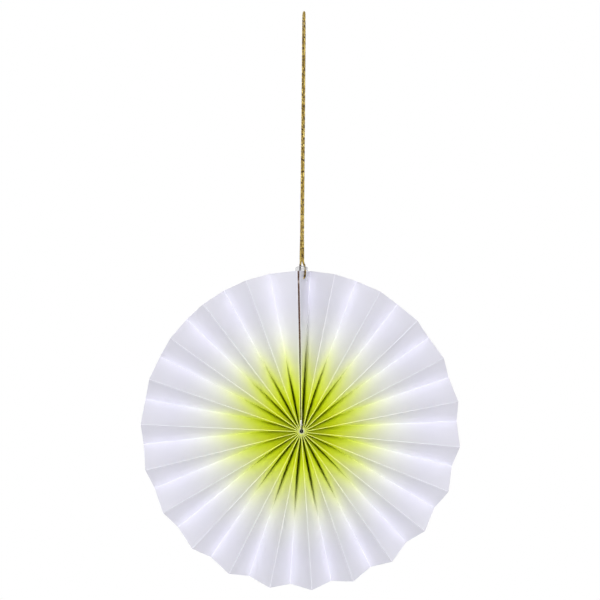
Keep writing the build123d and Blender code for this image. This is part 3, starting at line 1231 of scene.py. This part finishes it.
    def build(self) -> bpy.types.Object:
        """Make the strip with its thickness, drawn in at the hub by the binding.

        The printed side lies half a thickness along the normals, and the other side as far behind.
        Stations stand closer together towards the hub, each radius a fixed multiple of the last.

        Returns:
            The strip's object.
        """
        outer = np.geomspace(self.hub_radius, self.fan_radius, self.stations)
        radii = np.concatenate([np.full(self.waist_rows, self.hub_radius), outer])
        points, normals = self.section(radii)
        drawn_in = self._waist(points)
        points = points * (drawn_in[..., None] * (1, 0, 1) + BACK)
        half = normals * (drawn_in[..., None] * self.paper_thickness / 2)
        rings = np.concatenate([points + half, (points - half)[:, ::-1]], axis=1)
        along = lengths_along(points)
        from_ridge = np.abs(along - along[:, self.ridge_columns(along.shape[1])])
        strip = np.stack([along, radii[:, None] * drawn_in], axis=-1)
        fold = np.stack([from_ridge, np.ones_like(from_ridge)], axis=-1)
        behind = fold[:, ::-1] * (1, 0)
        behind[:, [0, -1], 1] = 1
        maps = {
            "strip": np.concatenate([strip, strip[:, ::-1], strip[:, :1]], axis=1),
            "fold": np.concatenate([fold, behind, behind[:, -1:]], axis=1),
        }
        piece = make_object("fan_paper", [Shell(self.hung(rings), maps, EndCap.STRIP)])
        sharpen(piece, self.crease_angle)
        return piece

    def dress(self, piece: bpy.types.Object, effects: SharedEffects) -> None:
        """Finish the strip and let it stand for its solid.

        Args:
            piece: The strip's object.
            effects: Shared node groups.
        """
        dress(piece, PrintedPaper().material(effects))
        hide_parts("pleated_paper")
        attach(piece, BODY)


@dataclass
class EndCard:
    """Board strip in the joint, its front edge following the ridge beside it."""

    fan: PleatedFan
    inner_radius: float = 8.6 * MM
    setback: float = 0.3 * MM
    hub_setback: float = 0.7 * MM
    back_margin: float = 1.0 * MM
    edge_radius: float = 0.22 * MM
    unevenness: float = 0.05 * MM
    wave_numbers: tuple[float, ...] = (900.0, 2310.0, 5230.0)
    stations: int = 90
    crease_angle: float = 60.0

    def build(self) -> bpy.types.Object:
        """Carry a rounded rectangle, as thick as the board, outwards along the joint.

        Its front follows the ridges' depth, with a slight unevenness from three sine waves. Where
        the joint is pressed together, near the hub, the board is thinner and stands further back.

        Returns:
            The board's object.
        """
        share = (1 - np.cos(np.linspace(0, math.pi, self.stations))) / 2
        radii = self.inner_radius + (self.fan.fan_radius - self.inner_radius) * share
        setback = self.setback + (self.hub_setback - self.setback) * self.fan.pressed(radii)
        thinned = self.fan.card_thinning(radii)
        reach = self.fan.panel_width - self.hub_setback - self.back_margin
        phases = np.arange(len(self.wave_numbers))
        waves = np.sin(radii[:, None] * np.array(self.wave_numbers) + phases).mean(axis=1)
        middle = self.fan.front_depth(radii) + setback + reach / 2
        path = np.stack([-thinned / 2, middle + self.unevenness * waves, radii], axis=-1)
        from_end = np.minimum(radii - radii[0], radii[-1] - radii)
        inset = end_rounding(from_end, self.edge_radius)
        profile = rounded_rectangle(self.fan.card_thickness, reach, self.edge_radius, inset)
        kept = np.stack([1 - thinned / self.fan.card_thickness, np.ones_like(radii)], axis=-1)
        profile = profile * kept[:, None]
        rings = carry_profile(path, ACROSS, BACK, profile)
        around = lengths_along(np.concatenate([profile, profile[:, :1]], axis=1))
        along = np.repeat(radii[:, None], around.shape[1], axis=1)
        from_corner = self.fan.card_thickness / 2 - np.abs(profile[..., 0])
        from_corner = np.concatenate([from_corner, from_corner[:, :1]], axis=1)
        maps = {
            "board": np.stack([around, along], axis=-1),
            "edge": np.stack([from_corner, along], axis=-1),
        }
        piece = make_object("joint_board", [Shell(self.fan.hung(rings), maps)])
        sharpen(piece, self.crease_angle)
        return piece

    def dress(self, piece: bpy.types.Object, effects: SharedEffects) -> None:
        """Finish the board and let it stand for its solid.

        Args:
            piece: The board's object.
            effects: Shared node groups.
        """
        dress(piece, BrownBoard().material(effects))
        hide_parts("end_card")
        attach(piece, BODY)


@dataclass
class JointClip:
    """Clear clip over the rim at the joint, with a thin front wall and a slot for the strands."""

    fan: PleatedFan
    wall: float = 0.9 * MM
    rise: float = 3.3 * MM
    drop: float = 8.5 * MM
    front_setback: float = 2.8 * MM
    clearance: float = 0.15 * MM
    corner_radius: float = 1.6 * MM
    edge_radius: float = 0.2 * MM
    crown: float = 0.5 * MM
    web: float = 0.3 * MM
    web_gap: float = 0.03 * MM
    slot_reach: float = 2.5
    leg_points: int = 14
    bend_points: int = 8
    top_points: int = 12
    crease_angle: float = 40.0

    def _sides(self) -> tuple[float, float, float]:
        """Where the clip's legs stand, from side to side.

        Returns:
            Middles of the left and the right wall, and the inside of the right wall.
        """
        fan = self.fan
        left = -fan.card_thickness / 2 - fan.paper_thickness - self.clearance - self.wall / 2
        inside = fan.strand_offsets()[1] + fan.cord_diameter / 2 + self.clearance
        return left, inside + self.wall / 2, inside

    def _path(self) -> tuple[Array, Array]:
        """Middle of the clip's wall: up the left leg, over the rim and down the right leg.

        Straight legs, two quarter circles and a top that rises by a crown in its middle. A leg's
        points stand closer together towards its foot.

        Returns:
            Points (x, z) of the path and its outward normals, each of shape (rows, 2).
        """
        left, right, _ = self._sides()
        bend = self.corner_radius - self.wall / 2
        foot = self.fan.fan_radius - self.drop
        shoulder = self.fan.fan_radius + self.rise - self.wall / 2 - bend
        climb = np.linspace(0, 1, self.leg_points)
        rise = foot + (shoulder - foot) * climb * (1 - (1 - climb) ** 2)
        turn = np.linspace(0, math.pi / 2, self.bend_points)
        up = np.stack([np.full_like(rise, left), rise], axis=-1)[:-1]
        arc = np.stack([left + bend - bend * np.cos(turn), shoulder + bend * np.sin(turn)], axis=-1)
        share = np.linspace(0, 1, self.top_points)[1:-1]
        flat = left + bend + (right - left - 2 * bend) * share
        top = np.stack([flat, shoulder + bend + self.crown * np.sin(math.pi * share) ** 2], axis=-1)
        half = np.concatenate([up, arc])
        mirrored = half[::-1] * (-1, 1) + (left + right, 0)
        path = np.concatenate([half, top, mirrored])
        along = np.gradient(path, axis=0)
        return path, unit(np.stack([-along[:, 1], along[:, 0]], axis=-1))

    def build(self) -> bpy.types.Object:
        """Carry the wall's section over the rim, add the front wall and cut the strands' slot.

        Returns:
            The clip's object.
        """
        fan = self.fan
        path, normal = self._path()
        slope = fan.rim_slope()
        rim = fan.rim_creases()[0]
        panel = rim[0] + (fan.paper_thickness / 2 + self.clearance) * math.hypot(1, slope)
        front = rim[1] + self.front_setback
        length = rim[1] + (self._sides()[2] - panel) / slope - front
        along = lengths_along(path)
        inset = end_rounding(np.minimum(along, along[-1] - along), self.edge_radius)
        profile = rounded_rectangle(self.wall, length, self.edge_radius, inset)
        middle = np.full(len(path), front + length / 2)
        points = np.stack([path[:, 0], middle, path[:, 1]], axis=-1)
        outward = np.stack([normal[:, 0], np.zeros_like(middle), normal[:, 1]], axis=-1)
        rings = carry_profile(points, outward, BACK, profile)
        maps = {"wall": flat_map(*rings.shape[:2], 2 * (self.wall + length), along)}
        piece = make_object("rim_clip", [Shell(fan.hung(rings), maps), self._front_web(front)])
        cut_away(piece, self._slot())
        sharpen(piece, self.crease_angle)
        return piece

    def _front_web(self, front: float) -> Shell:
        """Thin front wall above the rim: a rounded rectangle carried backwards by its thickness.

        Args:
            front: Depth of the clip's front.

        Returns:
            The wall's shell.
        """
        left, right, _ = self._sides()
        foot = self.fan.fan_radius + self.clearance
        height = self.fan.fan_radius + self.rise - self.wall - self.web_gap - foot
        width = right - left - self.wall - 2 * self.web_gap
        depth = front + self.edge_radius + np.array([0, self.web])
        path = np.stack(np.broadcast_arrays((left + right) / 2, depth, foot + height / 2), -1)
        no_inset = np.zeros_like(depth)
        profile = rounded_rectangle(width, height, self.corner_radius - self.wall, no_inset)
        rings = carry_profile(path, ACROSS, UP, profile)
        maps = {"wall": flat_map(*rings.shape[:2], 2 * (width + height), depth)}
        return Shell(self.fan.hung(rings), maps)

    def _slot(self) -> bpy.types.Object:
        """Cutter for the strands' slot: a stadium outline carried upwards through the top.

        Returns:
            The cutter's object.
        """
        fan = self.fan
        left, right = fan.strand_offsets()
        radius = fan.cord_diameter / 2 + self.clearance
        top = fan.fan_radius + self.rise
        height = np.array([-self.slot_reach, self.slot_reach]) * self.wall
        path = np.stack(np.broadcast_arrays((left + right) / 2, fan.hole_depth, top + height), -1)
        width = right - left + 2 * radius
        no_inset = np.zeros_like(height)
        profile = rounded_rectangle(width, 2 * radius, radius * ALMOST, no_inset)
        rings = carry_profile(path, ACROSS, BACK, profile)
        maps = {"wall": flat_map(*rings.shape[:2], width, height)}
        return make_object("slot_cutter", [Shell(fan.hung(rings), maps)])

    def dress(self, piece: bpy.types.Object, effects: SharedEffects) -> None:
        """Finish the clip and let it stand for its solid.

        Args:
            piece: The clip's object.
            effects: Shared node groups.
        """
        dress(piece, ClearPlastic().material(effects))
        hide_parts("joint_clip")
        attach(piece, BODY)


@dataclass
class HangingCord:
    """Gold cord, doubled into a loop through the end panel, with an eye for the hook.

    The route's points are in millimetres.
    """

    diameter: float = 1.7 * MM
    length: float = 421.5 * MM
    plies: int = 3
    lay_length: float = 4.2 * MM
    groove: float = 0.34
    swell: float = 0.3
    swell_from: float = -174.0 * MM
    swell_to: float = -186.0 * MM
    neck: float = -195.0 * MM
    ply_share: float = 0.95
    ring_spacing: float = 0.35 * MM
    columns: int = 24
    spline_order: int = 3
    spline_steps: int = 32
    route: tuple[Point, ...] = (
        (-1.39, 0, -203.5),
        (-1.31, 0, -207.0),
        (2.64, 0, -206.9),
        (2.41, 0, -197.5),
        (0.68, -0.74, -194.3),
        (0.64, -0.74, -187.8),
        (1.05, -0.66, -30.2),
        (1.05, -0.7, -18.0),
        (0.85, -2.35, -6.0),
        (0.75, -2.35, 1.2),
        (-0.05, 2.35, 1.2),
        (-0.1, 2.35, -6.0),
        (-0.2, 0.7, -18.0),
        (-0.2, 0.66, -30.2),
        (-0.84, 0.7, -187.8),
        (-0.88, 0.74, -194.3),
        (-1.54, 0, -197.6),
        (-1.4, 0, -203.4),
    )

    def centreline(self) -> Array:
        """Points of the smooth spline that has the route's points as its control points.

        Returns:
            Points of shape (count, 3), from the hidden splice round the loop and back.
        """
        curve = bpy.data.curves.new("cord_line", "CURVE")
        curve.dimensions = "3D"
        curve.resolution_u = self.spline_steps
        spline = curve.splines.new("NURBS")
        spline.points.add(len(self.route) - 1)
        places = np.ones((len(self.route), 4))
        places[:, :3] = np.array(self.route) * MM
        spline.points.foreach_set("co", places.ravel())
        spline.order_u = self.spline_order
        spline.use_endpoint_u = True
        holder = bpy.data.objects.new("cord_line", curve)
        mesh = bpy.data.meshes.new_from_object(holder)
        points = np.empty(len(mesh.vertices) * 3)
        mesh.vertices.foreach_get("co", points)
        bpy.data.objects.remove(holder)
        bpy.data.curves.remove(curve)
        bpy.data.meshes.remove(mesh)
        return points.reshape(-1, 3)

    def build(self) -> tuple[bpy.types.Object, Array]:
        """Carry a section of touching round plies along the spline, turning as it goes.

        Towards a ply's middle the section stands out as a circle does, and between two plies it
        dips into a groove. The yarn is a little fuller above the neck, where the strands part.

        Returns:
            The cord's object, and the points that it follows.
        """
        line = self.centreline()
        travelled = lengths_along(line)
        along = np.linspace(0, travelled[-1], int(travelled[-1] / self.ring_spacing))
        path = np.stack([np.interp(along, travelled, axis) for axis in line.T], axis=-1)
        tangent = unit(np.gradient(path, axis=0))
        sideways = unit(ACROSS + BACK)
        first = unit(sideways - (tangent @ sideways)[:, None] * tangent)
        second = np.cross(tangent, first)
        angle = np.linspace(0, TAU, self.columns, endpoint=False)
        turned = angle - TAU * along[:, None] / self.lay_length
        ply = np.abs(np.mod(turned * self.plies / TAU, 1.0) - 0.5) * 2
        lowest = math.sqrt(1 - self.ply_share**2)
        standing = (np.sqrt(1 - (self.ply_share * ply) ** 2) - lowest) / (1 - lowest)
        height = path[:, 2]
        fuller = ramp(height, self.swell_from, self.swell_to)
        fuller = fuller * ramp(height, self.neck, self.neck + 2 * self.diameter)
        radius = self.diameter / 2 * (1 - self.groove + self.groove * standing)
        radius = radius * (1 + self.swell * fuller[:, None])
        profile = np.stack([radius * np.cos(angle), radius * np.sin(angle)], axis=-1)
        rings = carry_profile(path, first, second, profile)
        standing = np.concatenate([standing, standing[:, :1]], axis=1)
        maps = {
            "yarn": flat_map(len(path), self.columns, math.pi * self.diameter, along),
            "ply": np.stack([standing, standing], axis=-1),
        }
        return make_object("gold_loop", [Shell(rings, maps)]), path

    def dress(self, piece: bpy.types.Object, path: Array, effects: SharedEffects) -> None:
        """Finish the cord and let it stand for its solid.

        Args:
            piece: The cord's object.
            path: Points that it follows. Not used.
            effects: Shared node groups.
        """
        dress(piece, GoldYarn().material(effects))
        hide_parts("hanging_cord")
        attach(piece, BODY)


@dataclass
class BindingWire:
    """Wire ring through the panels' inner ends, with its twisted tail turned up the joint."""

    fan: PleatedFan
    diameter: float = 0.8 * MM
    inset: float = 2.2 * MM
    depth: float = 5.0 * MM
    tail_reach: float = 8.2 * MM
    tail_proud: float = 0.2 * MM
    tail_aside: float = 0.1 * MM
    bend_radius: float = 1.2 * MM
    strand_radius: float = 0.22 * MM
    twist_radius: float = 0.21 * MM
    twist_pitch: float = 1.9 * MM
    columns: int = 12
    ring_points: int = 96
    forward_points: int = 20
    bend_points: int = 14
    upward_points: int = 24
    crease_angle: float = 60.0

    @property
    def hub_front(self) -> float:
        """Depth of the ridges at the hub."""
        return float(self.fan.front_depth(self.fan.hub_radius))

    @property
    def ring_radius(self) -> float:
        """Distance of the ring from the hub's axis."""
        return self.fan.hub_radius + self.inset

    def _tail_path(self) -> Array:
        """Middle of the tail: straight forwards from the ring, a quarter circle, straight up.

        Returns:
            Points of shape (rows, 3).
        """
        turn = np.linspace(0, math.pi / 2, self.bend_points)
        bend = self.bend_radius
        front = self.hub_front - self.tail_proud
        ring_depth = self.hub_front + self.depth
        forwards = np.linspace(ring_depth, front + bend, self.forward_points)[:-1]
        depth = np.concatenate([forwards, front + bend - bend * np.sin(turn)])
        height = np.concatenate([np.zeros_like(forwards), bend - bend * np.cos(turn)])
        height = height + self.ring_radius
        upwards = np.linspace(height[-1], self.tail_reach, self.upward_points)[1:]
        depth = np.append(depth, np.full_like(upwards, front))
        height = np.append(height, upwards)
        return np.stack([np.full_like(depth, self.tail_aside), depth, height], axis=-1)

    def build(self) -> bpy.types.Object:
        """Make the ring as a circle carried round a circle, and the tail as two twined helices.

        Returns:
            The wire's object.
        """
        angle = np.linspace(0, TAU, self.columns, endpoint=False)
        circle = np.stack([np.cos(angle), np.sin(angle)], axis=-1)
        around = np.linspace(0, TAU, self.ring_points, endpoint=False)
        outward = self.fan.on_circle(1.0, around)
        middle = outward * self.ring_radius + (self.hub_front + self.depth) * BACK
        ring = carry_profile(middle, outward, BACK, circle * self.diameter / 2)
        travelled = np.linspace(0, TAU * self.ring_radius, self.ring_points + 1)
        ring_map = flat_map(len(travelled), self.columns, math.pi * self.diameter, travelled)
        shells = [Shell(self.fan.hung(ring), {"wire": ring_map}, EndCap.JOINED)]

        path = self._tail_path()
        along = lengths_along(path)
        tangent = unit(np.gradient(path, axis=0))
        upright = np.cross(ACROSS, tangent)
        for start in (0, math.pi):
            turn = start + TAU * along / self.twist_pitch
            offset = np.cos(turn)[:, None] * ACROSS + np.sin(turn)[:, None] * upright
            strand = path + self.twist_radius * offset
            heading = unit(np.gradient(strand, axis=0))
            side = unit(offset - np.sum(offset * heading, axis=1, keepdims=True) * heading)
            to_end = (along[-1] - along) / self.strand_radius
            taper = np.sqrt(1 - np.clip(1 - to_end, 0, ALMOST) ** 2)
            section = circle * (self.strand_radius * taper)[:, None, None]
            rings = carry_profile(strand, side, np.cross(heading, side), section)
            wire_map = flat_map(len(path), self.columns, TAU * self.strand_radius, along)
            shells.append(Shell(self.fan.hung(rings), {"wire": wire_map}))
        piece = make_object("hub_wire", shells)
        sharpen(piece, self.crease_angle)
        return piece

    def dress(self, piece: bpy.types.Object, effects: SharedEffects) -> None:
        """Finish the wire and let it stand for its solid.

        Args:
            piece: The wire's object.
            effects: Shared node groups.
        """
        dress(piece, BrightWire().material(effects))
        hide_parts("binding_wire")
        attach(piece, BODY)


@dataclass(frozen=True)
class SoftBox:
    """Large soft lamp, given by where it stands as seen from the fan's middle."""

    name: str
    azimuth: float
    elevation: float
    width: float
    height: float
    watts: float
    distance: float = 1.8

    def build(self, middle: Vector, aim: Vector) -> None:
        """Make the lamp: azimuth turns to the right of the front, elevation upwards.

        Args:
            middle: Point that the azimuth, the elevation and the distance start from.
            aim: Point that the lamp is turned to.
        """
        azimuth, elevation = math.radians(self.azimuth), math.radians(self.elevation)
        level = math.cos(elevation)
        aside, ahead = math.sin(azimuth) * level, -math.cos(azimuth) * level
        towards = Vector((aside, ahead, math.sin(elevation)))
        data = bpy.data.lights.new(self.name, "AREA")
        data.shape = "RECTANGLE"
        data.size = self.width
        data.size_y = self.height
        data.energy = self.watts
        lamp = bpy.data.objects.new(self.name, data)
        lamp.location = middle + towards * self.distance
        lamp.rotation_euler = (aim - lamp.location).to_track_quat("-Z", "Y").to_euler()
        bpy.context.scene.collection.objects.link(lamp)


@dataclass
class Studio:
    """White surroundings: soft boxes before and behind, a weak light and a pale floor."""

    lamps: tuple[SoftBox, ...] = (
        SoftBox("left_box", azimuth=-17.5, elevation=3.0, width=0.24, height=0.4, watts=19.3),
        SoftBox("right_box", azimuth=17.5, elevation=3.0, width=0.24, height=0.4, watts=19.9),
        SoftBox("back_left_box", azimuth=-145.0, elevation=18.0, width=0.8, height=0.8, watts=20.0),
        SoftBox("back_right_box", azimuth=145.0, elevation=18.0, width=0.8, height=0.8, watts=13.0),
    )
    middle: Point = (0.0, 0.0, -0.326)
    aim: Point = (0.0, 0.0, -1.1)
    front_light: float = 0.07
    side_light: float = 0.38
    side_reach: Span = (0.5, 0.85)
    floor_height: float = -0.62
    floor_radius: float = 3.0
    floor_hub: float = 0.01
    floor_rings: int = 24
    floor_spokes: int = 64
    fade_reach: Span = (0.1, 0.6)
    fade: Span = (0.5, 1.0)
    floor_colour: Colour = (0.86, 0.86, 0.87)

    def build(self) -> None:
        """Make the lamps, the world and the floor."""
        bpy.context.scene.view_settings.view_transform = "Standard"
        for lamp in self.lamps:
            lamp.build(Vector(self.middle), Vector(self.aim))
        self._world()
        self._floor()

    @staticmethod
    def _seen_directly(sheet: NodeSheet) -> bpy.types.NodeSocket:
        """Tell rays from the camera, reflections and clear plastic from other light.

        Args:
            sheet: Nodes of the material or the world.

        Returns:
            One for such rays, nothing for other light.
        """
        path = sheet.add("LightPath").outputs
        seen = sheet.sum("MAXIMUM", path["Is Camera Ray"], path["Is Glossy Ray"])
        return sheet.sum("MAXIMUM", seen, path["Is Transmission Ray"])

    def _world(self) -> None:
        """White where it is seen, and elsewhere a weak light, stronger from the sides."""
        world = bpy.data.worlds.new("studio")
        world.use_nodes = True
        sheet = NodeSheet(world.node_tree)
        heading = sheet.add("SeparateXYZ", {0: sheet.add("TexCoord").outputs["Generated"]}).outputs
        ahead = sheet.sum("ABSOLUTE", heading[1])
        light = sheet.span(ahead, *self.side_reach, (self.side_light, self.front_light))
        weak = sheet.add("Background", {"Color": (1, 1, 1), "Strength": light})
        white = sheet.add("Background", {"Color": (1, 1, 1), "Strength": 1.0})
        seen = self._seen_directly(sheet)
        mixed = sheet.add("MixShader", {0: seen, 1: weak.outputs[0], 2: white.outputs[0]})
        sheet.add("OutputWorld", {0: mixed.outputs[0]})
        bpy.context.scene.world = world

    def _floor(self) -> None:
        """Flat disc: its colour and shadow show below the fan and fade to white further out.

        It throws no light back at the fan.
        """
        spokes = self.floor_spokes
        radii = np.geomspace(self.floor_hub, self.floor_radius, self.floor_rings)
        angle = np.linspace(0, TAU, spokes, endpoint=False)
        x = radii[:, None] * np.cos(angle)
        y = radii[:, None] * np.sin(angle)
        points = np.stack([x, y, np.full_like(x, self.floor_height)], axis=-1).reshape(-1, 3)
        ring, spoke = np.meshgrid(np.arange(len(radii) - 1), np.arange(spokes), indexing="ij")
        near = ring * spokes + spoke
        beside = ring * spokes + (spoke + 1) % spokes
        quads = np.stack([near, near + spokes, beside + spokes, beside], axis=-1).reshape(-1, 4)
        faces = [*quads.tolist(), list(range(spokes))]
        mesh = bpy.data.meshes.new("floor")
        mesh.from_pydata(points.tolist(), [], faces)
        floor = bpy.data.objects.new("floor", mesh)
        bpy.context.scene.collection.objects.link(floor)
        floor.visible_diffuse = False

        material = bpy.data.materials.new("floor_finish")
        material.use_nodes = True
        sheet = NodeSheet(material.node_tree)
        place = sheet.add("TexCoord").outputs["Object"]
        level = sheet.add("VectorMath", {0: place, 1: (1, 1, 0)}, operation="MULTIPLY")
        distance = sheet.add("VectorMath", {0: level.outputs[0]}, operation="LENGTH")
        fade = sheet.span(distance.outputs["Value"], *self.fade_reach, self.fade)
        share = sheet.sum("MULTIPLY", self._seen_directly(sheet), fade)
        plain = sheet.add("BsdfDiffuse", {"Color": self.floor_colour})
        white = sheet.add("Emission", {"Color": (1, 1, 1), "Strength": 1.0})
        mixed = sheet.add("MixShader", {0: share, 1: plain.outputs[0], 2: white.outputs[0]})
        sheet.add("OutputMaterial", {"Surface": mixed.outputs[0]})
        mesh.materials.append(material)


def main() -> None:
    """Build the camera, the pieces and the studio."""
    logging.basicConfig(level=logging.INFO, format="%(message)s")
    PhotoView().build()
    effects = SharedEffects()
    cord = HangingCord()
    loop, path = cord.build()
    cord.dress(loop, path, effects)
    pieces = [loop]
    fan = PleatedFan()
    for maker in (fan, EndCard(fan), JointClip(fan), BindingWire(fan)):
        piece = maker.build()
        maker.dress(piece, effects)
        pieces.append(piece)
    Studio().build()
    for piece in pieces:
        size = [round(side / MM, 1) for side in piece.dimensions]
        log.info("%s: %d faces, %s mm", piece.name, len(piece.data.polygons), size)


if __name__ == "__main__":
    main()
